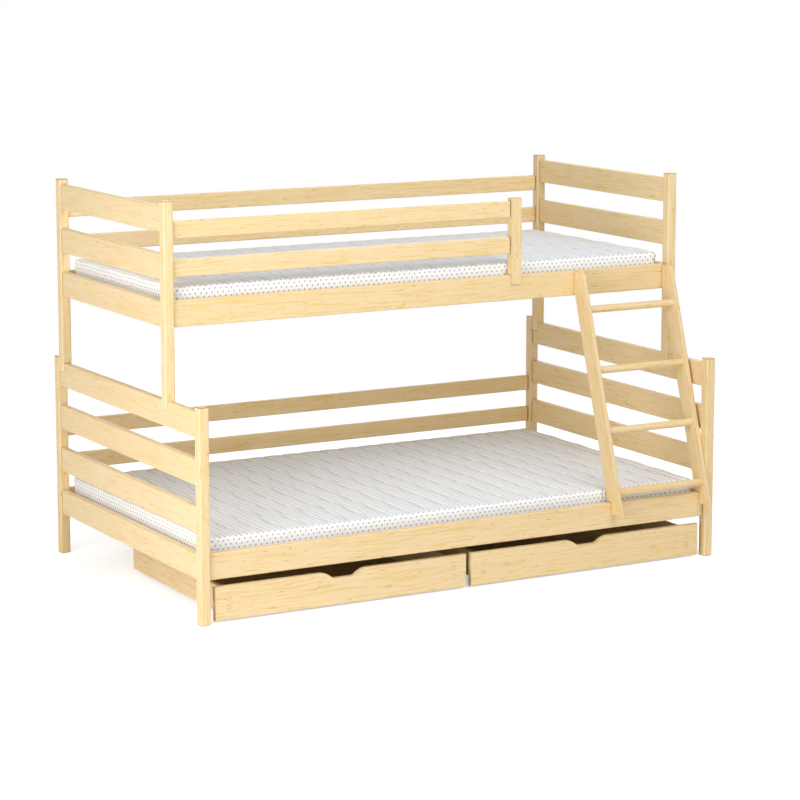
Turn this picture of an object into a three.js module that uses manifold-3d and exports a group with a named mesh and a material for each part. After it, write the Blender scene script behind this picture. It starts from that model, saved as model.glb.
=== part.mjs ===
// Bunk bed of pale pine: a narrow upper bunk stands on the end frames of a wider lower one.
// A leaning ladder joins the two, and two drawers on wheels roll out from under the lower bunk.
// Millimetres, +Z up, front towards -Y, length along X. The floor is Z = 0.

import * as THREE from 'three';
import { mergeVertices } from 'three/addons/utils/BufferGeometryUtils.js';
import Module from 'manifold-3d';

const wasm = await Module();
wasm.setup();

// Driving sizes of the frame.
const LENGTH = 2080;
const LOWER_WIDTH = 1248;
const UPPER_WIDTH = 943;
const POST_X = 36;
const POST_Y = 39;
const POST_ROUND = 5.5;
const POST_RISE = 18;
const BOARD = 24;
const BOARD_ROUND = 4.5;
const END_EASE = 2;
const FIT = 0.3;

// End rails: four in each lower end frame and three in each upper one, on one pitch.
const END_RAIL_HEIGHT = 90;
const END_RAIL_PITCH = 160;
const LOWER_FIRST_RAIL = 150;
const LOWER_RAIL_COUNT = 4;
const UPPER_FIRST_RAIL = 966;
const UPPER_RAIL_COUNT = 3;
const END_SETBACK = 4.8;

// Side rails carry the slats, and the thinner rails above them stop a fall.
const SIDE_RAIL_HEIGHT = 92;
const SIDE_SETBACK = 14;
const GUARD_HEIGHT = 60;
const BACK_GUARD_PITCH = 127;
const FRONT_GUARD_RISE = 170;
const FRONT_GUARD_PITCH = 130;
const GUARD_POST_WIDTH = 41;
const GUARD_POST_PROUD = 7;
const GUARD_POST_RISE = 10;
const GUARD_POST_LAP = 32;
const ENTRY_TO_LADDER = 229.7;
const FORK_LAP = 34;
const POST_CLEARANCE = 4.8;

// The ladder leans back from the lower side rail to the upper one. Its foot reaches out to the
// front, and its back meets the upper rail a little above that rail's lower edge.
const STRINGER = 19;
const STRINGER_ACROSS = 72;
const LADDER_SPAN = 386;
const LADDER_REACH = 44.6;
const LADDER_LAP = 43;
const LADDER_TOP_REST = 22;
const LADDER_TOP_ROUND = 26;
const RUNG = 27;
const RUNG_COUNT = 4;
const FIRST_RUNG_RISE = 82.7;
const LAST_RUNG_DROP = 44.4;
const RUNG_FROM_FRONT = 21.5;
const RUNG_SOCKET = 10;

// Slats and mattresses.
const LEDGER_DEPTH = 20;
const LEDGER_HEIGHT = 16;
const LEDGER_INSET = 40;
const SLAT_COUNT = 13;
const SLAT_WIDTH = 70;
const SLAT = 18;
const SLAT_END_GAP = 2;
const TAPE_WIDTH = 25;
const TAPE = 1.5;
const MATTRESS_EDGE = 98;
const MATTRESS_CROWN = 5;
const MATTRESS_END_GAP = 11;
const MATTRESS_BACK_GAP = 3;
const MATTRESS_FRONT_GAP = 3;
const MATTRESS_CORNER = 26;
const MATTRESS_TOP_ROUND = 14;
const MATTRESS_DRAW_IN = 2.5;

// Drawers and their wheels.
const DRAWER_POST_GAP = 21;
const DRAWER_MIDDLE_GAP = 18;
const DRAWER_FRONT_BOTTOM = 8;
const DRAWER_TOP_GAP = 24.5;
const PANEL = 18;
const PANEL_EASE = 2.5;
const DRAWER_DEPTH = 765;
const DRAWER_SIDE_INSET = 42;
const DRAWER_SIDE_DROP = 13.5;
const DRAWER_BOTTOM = 4;
const GRIP_TOP_WIDTH = 142;
const GRIP_BOTTOM_WIDTH = 80;
const GRIP_DEPTH = 23;
const GRIP_TOP_ROUND = 18;
const GRIP_BOTTOM_ROUND = 7;
const WHEEL = 19;
const WHEEL_WIDTH = 12;
const WHEEL_ROUND = 1.5;
const WHEEL_END_DISTANCE = 80;
const WHEEL_TOP_GAP = 3;
const AXLE = 5;
const AXLE_FIT = 0.3;
const BEARING_WIDTH = 20;
const BEARING_LENGTH = 36;
const BEARING_RISE = 4;
const BEARING_INSET = 40;
const WHEEL_SIDE_GAP = 1.5;
const WHEEL_SIDES = 16;
const RUNG_SIDES = 16;

const LOWER_RAIL_TOP = LOWER_FIRST_RAIL + (LOWER_RAIL_COUNT - 1) * END_RAIL_PITCH + END_RAIL_HEIGHT;
const UPPER_RAIL_TOP = UPPER_FIRST_RAIL + (UPPER_RAIL_COUNT - 1) * END_RAIL_PITCH + END_RAIL_HEIGHT;
const LOWER_POST_TOP = LOWER_RAIL_TOP + POST_RISE;
const UPPER_POST_TOP = UPPER_RAIL_TOP + POST_RISE;

// The upper bunk stands clear of the lower rear posts. Y runs from the front of the lower posts.
const UPPER_BACK = LOWER_WIDTH - POST_Y - POST_CLEARANCE;
const UPPER_FRONT = UPPER_BACK - UPPER_WIDTH;

// The ladder's right stringer stands beside the right posts.
const RIGHT_STRINGER = LENGTH - POST_X - FIT - STRINGER;
const LEFT_STRINGER = RIGHT_STRINGER - LADDER_SPAN;
const LADDER_TOP_BACK = UPPER_FRONT + SIDE_SETBACK - FIT;
const FOOT_HEIGHT = LOWER_FIRST_RAIL + SIDE_RAIL_HEIGHT - LADDER_LAP;
const LADDER_RISE = UPPER_FIRST_RAIL + LADDER_TOP_REST - FOOT_HEIGHT;
const LADDER_SLOPE = (LADDER_TOP_BACK + LADDER_REACH - STRINGER_ACROSS) / LADDER_RISE;

// The guard post stands at the near side of the way in.
const GUARD_POST_X = LEFT_STRINGER - ENTRY_TO_LADDER - GUARD_POST_WIDTH;
const FRONT_GUARD = UPPER_FIRST_RAIL + FRONT_GUARD_RISE;
const GUARD_POST_TOP = FRONT_GUARD + FRONT_GUARD_PITCH + GUARD_HEIGHT + GUARD_POST_RISE;

// The slats' underside and the mattress's underside lie this far above a side rail's lower edge.
const SLAT_RISE = LEDGER_HEIGHT + FIT;
const MATTRESS_RISE = SLAT_RISE + SLAT + TAPE + FIT;

// The drawer's bottom clears the wheels. The sides stand level with its underside, and end a
// little below the front's top edge.
const DRAWER_FRONT_TOP = LOWER_FIRST_RAIL - DRAWER_TOP_GAP;
const DRAWER_SIDE_TOP = DRAWER_FRONT_TOP - DRAWER_SIDE_DROP;
const DRAWER_UNDERSIDE = WHEEL + WHEEL_TOP_GAP;
const DRAWER_SIDE_HEIGHT = DRAWER_SIDE_TOP - DRAWER_UNDERSIDE;

function wood(colour) {
  return new THREE.MeshStandardMaterial({ color: colour, roughness: 0.55, metalness: 0 });
}

const pine = wood('#eed6a5');
const slatPine = wood('#e0c08a');
const drawerPine = wood('#e3c593');
const mattressCloth = new THREE.MeshStandardMaterial({ color: '#e9ebee', roughness: 0.95, metalness: 0 });
const wheelPlastic = new THREE.MeshStandardMaterial({ color: '#3b3c3e', roughness: 0.5, metalness: 0 });

const bunkBed = new THREE.Group();
const bed = new THREE.Group();
bed.position.set(-LENGTH / 2, -(LOWER_WIDTH - LADDER_REACH) / 2, 0);
bunkBed.add(bed);

function addPiece(name, geometry, material, x, y, z) {
  const mesh = new THREE.Mesh(geometry, material);
  mesh.name = name;
  mesh.position.set(x, y, z);
  bed.add(mesh);
}

// Joining and cutting of closed shapes.
function toSolid(geometry) {
  const bare = geometry.clone();
  bare.deleteAttribute('normal');
  bare.deleteAttribute('uv');
  const merged = mergeVertices(bare, 1e-4);
  return new wasm.Manifold(new wasm.Mesh({
    numProp: 3,
    vertProperties: new Float32Array(merged.attributes.position.array),
    triVerts: new Uint32Array(merged.index.array),
  }));
}

function toGeometry(solid) {
  const mesh = solid.getMesh();
  const geometry = new THREE.BufferGeometry();
  geometry.setAttribute('position', new THREE.BufferAttribute(mesh.vertProperties, 3));
  geometry.setIndex(new THREE.BufferAttribute(mesh.triVerts, 1));
  geometry.computeVertexNormals();
  return geometry;
}

function joined(geometries) {
  return toGeometry(geometries.map(toSolid).reduce((whole, next) => whole.add(next)));
}

function cutBy(geometry, cutters) {
  return toGeometry(cutters.map(toSolid).reduce((rest, cutter) => rest.subtract(cutter), toSolid(geometry)));
}

function box(sizeX, sizeY, sizeZ, x, y, z) {
  return new THREE.BoxGeometry(sizeX, sizeY, sizeZ).translate(x, y, z);
}

// Extrusions run along Z, and these turn them to run along X, along Y, or back from the front.
const TO_X = new THREE.Matrix4().makeBasis(
  new THREE.Vector3(0, 1, 0),
  new THREE.Vector3(0, 0, 1),
  new THREE.Vector3(1, 0, 0),
);
const TO_Y = new THREE.Matrix4().makeBasis(
  new THREE.Vector3(0, 0, 1),
  new THREE.Vector3(1, 0, 0),
  new THREE.Vector3(0, 1, 0),
);
const TO_FRONT = new THREE.Matrix4().makeBasis(
  new THREE.Vector3(1, 0, 0),
  new THREE.Vector3(0, 0, 1),
  new THREE.Vector3(0, -1, 0),
);

function roundedSection(width, height, radius) {
  const w = width / 2;
  const h = height / 2;
  const section = new THREE.Shape();
  section.moveTo(radius - w, -h);
  section.absarc(w - radius, radius - h, radius, -Math.PI / 2, 0, false);
  section.absarc(w - radius, h - radius, radius, 0, Math.PI / 2, false);
  section.absarc(radius - w, h - radius, radius, Math.PI / 2, Math.PI, false);
  section.absarc(radius - w, radius - h, radius, Math.PI, Math.PI * 1.5, false);
  return section;
}

// Boards and posts have rounded long edges and eased ends, and are centred on their own middle.
function extrudedEased(section, length, ease, curveSegments) {
  const geometry = new THREE.ExtrudeGeometry(section, {
    depth: length - 2 * ease,
    bevelThickness: ease,
    bevelSize: ease,
    bevelOffset: -ease,
    bevelSegments: 1,
    curveSegments,
  });
  return geometry.translate(0, 0, ease - length / 2);
}

function boardX(length, thickness, height) {
  const section = roundedSection(thickness, height, BOARD_ROUND);
  return extrudedEased(section, length, END_EASE, 1).applyMatrix4(TO_X);
}

function boardY(length, thickness, height) {
  const section = roundedSection(height, thickness, BOARD_ROUND);
  return extrudedEased(section, length, END_EASE, 1).applyMatrix4(TO_Y);
}

function postZ(sizeX, sizeY, height) {
  return extrudedEased(roundedSection(sizeX, sizeY, POST_ROUND), height, END_EASE, 1);
}

// Each end of the bed: side -1 is the left end, +1 the right end.
const ENDS = [
  { label: 'left', side: -1 },
  { label: 'right', side: 1 },
];

function postCentreX(side) {
  return LENGTH / 2 + side * (LENGTH - POST_X) / 2;
}

function endRailCentreX(side) {
  return LENGTH / 2 + side * (LENGTH / 2 - END_SETBACK - BOARD / 2);
}

function addLowerEnd({ label, side }) {
  const post = postZ(POST_X, POST_Y, LOWER_POST_TOP);
  const x = postCentreX(side);
  addPiece(`lower_post_front_${label}`, post, pine, x, POST_Y / 2, LOWER_POST_TOP / 2);
  addPiece(`lower_post_back_${label}`, post, pine, x, LOWER_WIDTH - POST_Y / 2, LOWER_POST_TOP / 2);
  const rail = boardY(LOWER_WIDTH - 2 * (POST_Y + FIT), BOARD, END_RAIL_HEIGHT);
  for (let i = 0; i < LOWER_RAIL_COUNT; i += 1) {
    const z = LOWER_FIRST_RAIL + i * END_RAIL_PITCH + END_RAIL_HEIGHT / 2;
    addPiece(`lower_end_rail_${label}_${i + 1}`, rail, pine, endRailCentreX(side), LOWER_WIDTH / 2, z);
  }
}

// An upper post ends in a fork that straddles the top rail of the lower end frame.
function forkedPost(side) {
  const bottom = LOWER_RAIL_TOP - FORK_LAP;
  const height = UPPER_POST_TOP - bottom;
  const slot = FORK_LAP + FIT;
  const slotX = endRailCentreX(side) - postCentreX(side);
  const cutter = box(BOARD + 2 * FIT, 2 * POST_Y, 2 * slot, slotX, 0, -height / 2);
  return cutBy(postZ(POST_X, POST_Y, height), [cutter]);
}

function addUpperEnd({ label, side }) {
  const post = forkedPost(side);
  const x = postCentreX(side);
  const z = (UPPER_POST_TOP + LOWER_RAIL_TOP - FORK_LAP) / 2;
  addPiece(`upper_post_front_${label}`, post, pine, x, UPPER_FRONT + POST_Y / 2, z);
  addPiece(`upper_post_back_${label}`, post, pine, x, UPPER_BACK - POST_Y / 2, z);
  const rail = boardY(UPPER_WIDTH - 2 * (POST_Y + FIT), BOARD, END_RAIL_HEIGHT);
  const y = UPPER_FRONT + UPPER_WIDTH / 2;
  for (let i = 0; i < UPPER_RAIL_COUNT; i += 1) {
    const railZ = UPPER_FIRST_RAIL + i * END_RAIL_PITCH + END_RAIL_HEIGHT / 2;
    addPiece(`upper_end_rail_${label}_${i + 1}`, rail, pine, endRailCentreX(side), y, railZ);
  }
}

// A side rail carries a ledger strip along its inner face, which the slats rest on.
const INNER_LENGTH = LENGTH - 2 * (POST_X + FIT);

function sideRail(inwards) {
  const overlap = 1;
  const ledgerY = inwards * (BOARD / 2 + (LEDGER_DEPTH - overlap) / 2);
  const ledgerZ = (LEDGER_HEIGHT - SIDE_RAIL_HEIGHT) / 2;
  const ledgerLength = INNER_LENGTH - 2 * LEDGER_INSET;
  const ledger = box(ledgerLength, LEDGER_DEPTH + overlap, LEDGER_HEIGHT, 0, ledgerY, ledgerZ);
  return joined([boardX(INNER_LENGTH, BOARD, SIDE_RAIL_HEIGHT), ledger]);
}

function addBackGuards(level, y, railBottom) {
  const guard = boardX(INNER_LENGTH, BOARD, GUARD_HEIGHT);
  for (let i = 0; i < 2; i += 1) {
    const z = railBottom + END_RAIL_PITCH + i * BACK_GUARD_PITCH + GUARD_HEIGHT / 2;
    addPiece(`${level}_back_guard_${i + 1}`, guard, pine, LENGTH / 2, y, z);
  }
}

function addSideRails(level, front, back, railBottom) {
  const z = railBottom + SIDE_RAIL_HEIGHT / 2;
  const frontY = front + SIDE_SETBACK + BOARD / 2;
  addPiece(`${level}_side_rail_front`, sideRail(1), pine, LENGTH / 2, frontY, z);
  addPiece(`${level}_side_rail_back`, sideRail(-1), pine, LENGTH / 2, back - BOARD / 2, z);
}

// The front guard stops short of the ladder, at a post that laps over the side rail.
function guardPost() {
  const railTop = UPPER_FIRST_RAIL + SIDE_RAIL_HEIGHT;
  const depth = GUARD_POST_PROUD + BOARD;
  const side = new THREE.Shape();
  side.moveTo(0, railTop - GUARD_POST_LAP);
  side.lineTo(GUARD_POST_PROUD - FIT, railTop - GUARD_POST_LAP);
  side.lineTo(GUARD_POST_PROUD - FIT, railTop + FIT);
  side.lineTo(depth, railTop + FIT);
  side.lineTo(depth, GUARD_POST_TOP);
  side.lineTo(0, GUARD_POST_TOP);
  return extrudedEased(side, GUARD_POST_WIDTH, END_EASE, 1).applyMatrix4(TO_X);
}

function addFrontGuard() {
  const railFront = UPPER_FRONT + SIDE_SETBACK;
  const start = POST_X + FIT;
  const length = GUARD_POST_X - FIT - start;
  const guard = boardX(length, BOARD, GUARD_HEIGHT);
  for (let i = 0; i < 2; i += 1) {
    const z = FRONT_GUARD + i * FRONT_GUARD_PITCH + GUARD_HEIGHT / 2;
    addPiece(`front_guard_rail_${i + 1}`, guard, pine, start + length / 2, railFront + BOARD / 2, z);
  }
  const x = GUARD_POST_X + GUARD_POST_WIDTH / 2;
  addPiece('front_guard_post', guardPost(), pine, x, railFront - GUARD_POST_PROUD, 0);
}

// The front and back edges of a stringer are straight lines that lean back with height.
function stringerFront(z) {
  return LADDER_SLOPE * (z - FOOT_HEIGHT) - LADDER_REACH;
}

function stringerBack(z) {
  return stringerFront(z) + STRINGER_ACROSS;
}

function stringerBlank() {
  const footRear = SIDE_SETBACK - FIT;
  const seat = LOWER_FIRST_RAIL + SIDE_RAIL_HEIGHT + FIT;
  const top = UPPER_FIRST_RAIL + SIDE_RAIL_HEIGHT;
  const lean = Math.atan(LADDER_SLOPE);
  const round = LADDER_TOP_ROUND;
  const cornerY = stringerFront(top - round) + round / Math.cos(lean);
  const outline = new THREE.Shape();
  outline.moveTo(stringerFront(FOOT_HEIGHT), FOOT_HEIGHT);
  outline.lineTo(footRear, FOOT_HEIGHT);
  outline.lineTo(footRear, seat);
  outline.lineTo(stringerBack(seat), seat);
  outline.lineTo(LADDER_TOP_BACK, FOOT_HEIGHT + LADDER_RISE);
  outline.lineTo(LADDER_TOP_BACK, top);
  outline.absarc(cornerY, top - round, round, Math.PI / 2, Math.PI - lean, false);
  return extrudedEased(outline, STRINGER, PANEL_EASE, 3).applyMatrix4(TO_X);
}

function rungPlaces() {
  const first = FOOT_HEIGHT + FIRST_RUNG_RISE;
  const last = UPPER_FIRST_RAIL - LAST_RUNG_DROP;
  const pitch = (last - first) / (RUNG_COUNT - 1);
  const places = [];
  for (let i = 0; i < RUNG_COUNT; i += 1) {
    const z = first + i * pitch;
    places.push({ y: stringerFront(z) + RUNG_FROM_FRONT, z });
  }
  return places;
}

function roundBar(diameter, length, sides) {
  return new THREE.CylinderGeometry(diameter / 2, diameter / 2, length, sides).rotateZ(Math.PI / 2);
}

// Each rung ends in a blind round socket in the inner face of either stringer.
function addLadder() {
  const places = rungPlaces();
  const socketed = (inner) => {
    const sockets = places.map(({ y, z }) => {
      const socket = roundBar(RUNG + 2 * FIT, 2 * (RUNG_SOCKET + FIT), RUNG_SIDES);
      return socket.translate(inner * STRINGER / 2, y, z);
    });
    return cutBy(stringerBlank(), sockets);
  };
  addPiece('ladder_stringer_left', socketed(1), pine, LEFT_STRINGER + STRINGER / 2, 0, 0);
  addPiece('ladder_stringer_right', socketed(-1), pine, RIGHT_STRINGER + STRINGER / 2, 0, 0);
  const clear = RIGHT_STRINGER - LEFT_STRINGER - STRINGER;
  const middle = LEFT_STRINGER + STRINGER + clear / 2;
  const rung = roundBar(RUNG, clear + 2 * RUNG_SOCKET, RUNG_SIDES);
  places.forEach(({ y, z }, i) => {
    addPiece(`ladder_rung_${i + 1}`, rung, pine, middle, y, z);
  });
}

// Slats lie across the bed on the ledgers, and two stapled tapes keep them apart.
function slatBase(width) {
  const run = INNER_LENGTH - 2 * LEDGER_INSET - SLAT_WIDTH;
  const pitch = run / (SLAT_COUNT - 1);
  const overlap = 1;
  const pieces = [];
  for (let i = 0; i < SLAT_COUNT; i += 1) {
    pieces.push(box(SLAT_WIDTH, width, SLAT, i * pitch - run / 2, 0, SLAT / 2));
  }
  for (const side of [-1, 1]) {
    const tapeHeight = TAPE + overlap;
    pieces.push(box(run, TAPE_WIDTH, tapeHeight, 0, side * width / 4, SLAT + TAPE - tapeHeight / 2));
  }
  return joined(pieces);
}

// A mattress is a box whose corners and top edge are round, whose long sides are drawn in
// between the borders and whose top is crowned.
const STEPS_ALONG = 12;
const STEPS_ACROSS = 8;
const STEPS_UP = 4;
const CORNER_STEPS = 2;
const SIDE_SHARPNESS = 24;
const CROWN_FLATNESS = 4;
const CROWN_FALL = 3;

// Even steps become two close ones round each corner and wide ones between.
function spread(value, half, steps, edge) {
  const index = Math.round((value + half) / (2 * half) * steps);
  const fromEnd = Math.min(index, steps - index);
  const turn = Math.min(fromEnd / CORNER_STEPS, 1) * Math.PI / 2;
  const wide = Math.max(fromEnd - CORNER_STEPS, 0) / (steps / 2 - CORNER_STEPS);
  const distance = (1 - Math.cos(turn)) * edge + wide * (half - edge);
  return index <= steps / 2 ? distance - half : half - distance;
}

function roundedPlan(x, y, halfX, halfY, radius) {
  const insideX = Math.max(radius - halfX, Math.min(halfX - radius, x));
  const insideY = Math.max(radius - halfY, Math.min(halfY - radius, y));
  const dx = x - insideX;
  const dy = y - insideY;
  const reach = Math.hypot(dx, dy);
  const scale = reach > 0 ? Math.max(Math.abs(dx), Math.abs(dy)) / reach : 1;
  return [insideX + dx * scale, insideY + dy * scale];
}

function mattress(length, width) {
  const height = MATTRESS_EDGE;
  const geometry = new THREE.BoxGeometry(length, width, height, STEPS_ALONG, STEPS_ACROSS, STEPS_UP);
  const place = geometry.attributes.position;
  for (let i = 0; i < place.count; i += 1) {
    const gridX = spread(place.getX(i), length / 2, STEPS_ALONG, MATTRESS_CORNER);
    const gridY = spread(place.getY(i), width / 2, STEPS_ACROSS, MATTRESS_CORNER);
    const row = Math.round((place.getZ(i) + height / 2) / height * STEPS_UP);
    const up = row / STEPS_UP;
    const [planX, planY] = roundedPlan(gridX, gridY, length / 2, width / 2, MATTRESS_CORNER);
    const alongX = 2 * planX / length;
    const alongY = 2 * planY / width;
    const atSide = Math.max(Math.abs(alongX), Math.abs(alongY)) ** SIDE_SHARPNESS;
    const flatness = (1 - alongX ** CROWN_FLATNESS) * (1 - alongY ** CROWN_FLATNESS);
    const crown = MATTRESS_CROWN * flatness * up ** CROWN_FALL;
    const edgeRound = MATTRESS_TOP_ROUND / 2 * atSide;
    const drop = row === STEPS_UP ? edgeRound : 0;
    const roundIn = row === STEPS_UP || row === 0 ? edgeRound : 0;
    const drawIn = MATTRESS_DRAW_IN * Math.sin(Math.PI * up) * atSide;
    const shrinkX = 1 - 2 * (drawIn + roundIn) / length;
    const shrinkY = 1 - 2 * (drawIn + roundIn) / width;
    place.setXYZ(i, planX * shrinkX, planY * shrinkY, up * height + crown - drop);
  }
  geometry.computeVertexNormals();
  return geometry;
}

function addBedding(level, front, back, railBottom, frontGap) {
  const railInner = front + SIDE_SETBACK + BOARD;
  const backInner = back - BOARD;
  const slatWidth = backInner - railInner - 2 * SLAT_END_GAP;
  const slatZ = railBottom + SLAT_RISE;
  const slatY = (railInner + backInner) / 2;
  addPiece(`${level}_slat_base`, slatBase(slatWidth), slatPine, LENGTH / 2, slatY, slatZ);
  const width = backInner - railInner - frontGap - MATTRESS_BACK_GAP;
  const length = LENGTH - 2 * (POST_X + MATTRESS_END_GAP);
  const mattressY = railInner + frontGap + width / 2;
  const mattressZ = railBottom + MATTRESS_RISE;
  addPiece(`${level}_mattress`, mattress(length, width), mattressCloth, LENGTH / 2, mattressY, mattressZ);
}

// Drawer front: a panel with a grip cut out of its top edge.
function roundedCorner(shape, before, corner, after, radius) {
  const inwards = before.clone().sub(corner).normalize();
  const outwards = after.clone().sub(corner).normalize();
  const start = corner.clone().addScaledVector(inwards, radius);
  const end = corner.clone().addScaledVector(outwards, radius);
  shape.lineTo(start.x, start.y);
  shape.quadraticCurveTo(corner.x, corner.y, end.x, end.y);
}

function drawerFront(width) {
  const height = DRAWER_FRONT_TOP - DRAWER_FRONT_BOTTOM;
  const w = width / 2;
  const h = height / 2;
  const rightEnd = new THREE.Vector2(w, h);
  const rightLip = new THREE.Vector2(GRIP_TOP_WIDTH / 2, h);
  const rightFloor = new THREE.Vector2(GRIP_BOTTOM_WIDTH / 2, h - GRIP_DEPTH);
  const leftFloor = new THREE.Vector2(-GRIP_BOTTOM_WIDTH / 2, h - GRIP_DEPTH);
  const leftLip = new THREE.Vector2(-GRIP_TOP_WIDTH / 2, h);
  const leftEnd = new THREE.Vector2(-w, h);
  const outline = new THREE.Shape();
  outline.moveTo(-w, -h);
  outline.lineTo(w, -h);
  outline.lineTo(w, h);
  roundedCorner(outline, rightEnd, rightLip, rightFloor, GRIP_TOP_ROUND);
  roundedCorner(outline, rightLip, rightFloor, leftFloor, GRIP_BOTTOM_ROUND);
  roundedCorner(outline, rightFloor, leftFloor, leftLip, GRIP_BOTTOM_ROUND);
  roundedCorner(outline, leftFloor, leftLip, leftEnd, GRIP_TOP_ROUND);
  outline.lineTo(-w, h);
  return extrudedEased(outline, PANEL, PANEL_EASE, 4).applyMatrix4(TO_FRONT);
}

// Wheels of a drawer stand beside bearing blocks glued under its bottom, in pairs on one axle.
function drawerBottom(width, depth, axlePlaces) {
  const overlap = 1;
  const overrun = 2;
  const blocks = [];
  const bores = [];
  const blockHeight = DRAWER_UNDERSIDE + overlap - BEARING_RISE;
  const blockZ = BEARING_RISE + blockHeight / 2;
  for (const y of axlePlaces) {
    for (const side of [-1, 1]) {
      const x = side * ((width - BEARING_WIDTH) / 2 - BEARING_INSET);
      blocks.push(box(BEARING_WIDTH, BEARING_LENGTH, blockHeight, x, y, blockZ));
      const bore = roundBar(AXLE + 2 * AXLE_FIT, BEARING_WIDTH + overrun, WHEEL_SIDES);
      bores.push(bore.translate(x, y, WHEEL / 2));
    }
  }
  const panel = box(width, depth, DRAWER_BOTTOM, 0, 0, DRAWER_UNDERSIDE + DRAWER_BOTTOM / 2);
  return cutBy(joined([panel, ...blocks]), bores);
}

function wheelPair(width) {
  const axleEnd = width / 2 - BEARING_INSET;
  const outer = axleEnd - BEARING_WIDTH - WHEEL_SIDE_GAP;
  const inner = outer - WHEEL_WIDTH;
  const tread = WHEEL / 2;
  const shoulder = tread - WHEEL_ROUND;
  const half = [
    [0, axleEnd],
    [AXLE / 2, axleEnd],
    [AXLE / 2, outer],
    [shoulder, outer],
    [tread, outer - WHEEL_ROUND],
    [tread, inner + WHEEL_ROUND],
    [shoulder, inner],
    [AXLE / 2, inner],
  ];
  const otherHalf = half.map(([radius, along]) => [radius, -along]);
  const whole = [...otherHalf, ...half.reverse()];
  const profile = whole.map(([radius, along]) => new THREE.Vector2(radius, along));
  return new THREE.LatheGeometry(profile, WHEEL_SIDES).rotateZ(-Math.PI / 2);
}

function addDrawer(label, left, width) {
  const front = SIDE_SETBACK;
  const middle = left + width / 2;
  const frontZ = (DRAWER_FRONT_BOTTOM + DRAWER_FRONT_TOP) / 2;
  addPiece(`drawer_${label}_front`, drawerFront(width), pine, middle, front + PANEL / 2, frontZ);

  const sideStart = front + PANEL + FIT;
  const sideLength = front + DRAWER_DEPTH - sideStart;
  const sideZ = DRAWER_SIDE_TOP - DRAWER_SIDE_HEIGHT / 2;
  const side = new THREE.BoxGeometry(PANEL, sideLength, DRAWER_SIDE_HEIGHT);
  const sideY = sideStart + sideLength / 2;
  const sideX = width / 2 - DRAWER_SIDE_INSET - PANEL / 2;
  addPiece(`drawer_${label}_side_left`, side, drawerPine, middle - sideX, sideY, sideZ);
  addPiece(`drawer_${label}_side_right`, side, drawerPine, middle + sideX, sideY, sideZ);

  const innerWidth = width - 2 * (DRAWER_SIDE_INSET + PANEL + FIT);
  const back = new THREE.BoxGeometry(innerWidth, PANEL, DRAWER_SIDE_HEIGHT);
  const backY = front + DRAWER_DEPTH - PANEL / 2;
  addPiece(`drawer_${label}_back`, back, drawerPine, middle, backY, sideZ);

  const bottomDepth = sideLength - PANEL - FIT;
  const bottomY = sideStart + bottomDepth / 2;
  const axleReach = bottomDepth / 2 - WHEEL_END_DISTANCE;
  const bottom = drawerBottom(innerWidth, bottomDepth, [-axleReach, axleReach]);
  addPiece(`drawer_${label}_bottom`, bottom, drawerPine, middle, bottomY, 0);
  const wheels = wheelPair(innerWidth);
  addPiece(`drawer_${label}_wheels_front`, wheels, wheelPlastic, middle, bottomY - axleReach, WHEEL / 2);
  addPiece(`drawer_${label}_wheels_back`, wheels, wheelPlastic, middle, bottomY + axleReach, WHEEL / 2);
}

ENDS.forEach(addLowerEnd);
ENDS.forEach(addUpperEnd);
addSideRails('lower', 0, LOWER_WIDTH, LOWER_FIRST_RAIL);
addSideRails('upper', UPPER_FRONT, UPPER_BACK, UPPER_FIRST_RAIL);
addBackGuards('lower', LOWER_WIDTH - BOARD / 2, LOWER_FIRST_RAIL);
addBackGuards('upper', UPPER_BACK - BOARD / 2, UPPER_FIRST_RAIL);
addFrontGuard();
addLadder();

// The lower mattress lies clear of the backs of the ladder's stringers.
const lowerEdgeTop = LOWER_FIRST_RAIL + MATTRESS_RISE + MATTRESS_EDGE - MATTRESS_TOP_ROUND / 2;
const ladderGap = stringerBack(lowerEdgeTop) + FIT - SIDE_SETBACK - BOARD;
addBedding('lower', 0, LOWER_WIDTH, LOWER_FIRST_RAIL, Math.max(MATTRESS_FRONT_GAP, ladderGap));
addBedding('upper', UPPER_FRONT, UPPER_BACK, UPPER_FIRST_RAIL, MATTRESS_FRONT_GAP);

const drawerStart = POST_X + DRAWER_POST_GAP;
const drawerWidth = (LENGTH - 2 * drawerStart - DRAWER_MIDDLE_GAP) / 2;
addDrawer('left', drawerStart, drawerWidth);
addDrawer('right', drawerStart + drawerWidth + DRAWER_MIDDLE_GAP, drawerWidth);

export default bunkBed;
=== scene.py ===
# %% [markdown]
# # A pine bunk bed with drawers
#
# The bed is a narrow upper bunk on a wider lower one, with a leaning ladder, two white quilted
# mattresses and two drawers on wheels. A CAD model of it already exists, with every board in its
# place. This lesson gives that model its looks: rounded and planed pine, stitched mattress covers,
# a camera where the photographer stood, and soft studio light.
#
# The CAD model is opened first. It stays where it is, and each new piece stands for one of its
# solids, so it is made from that solid's own lowest and highest corners.

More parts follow.
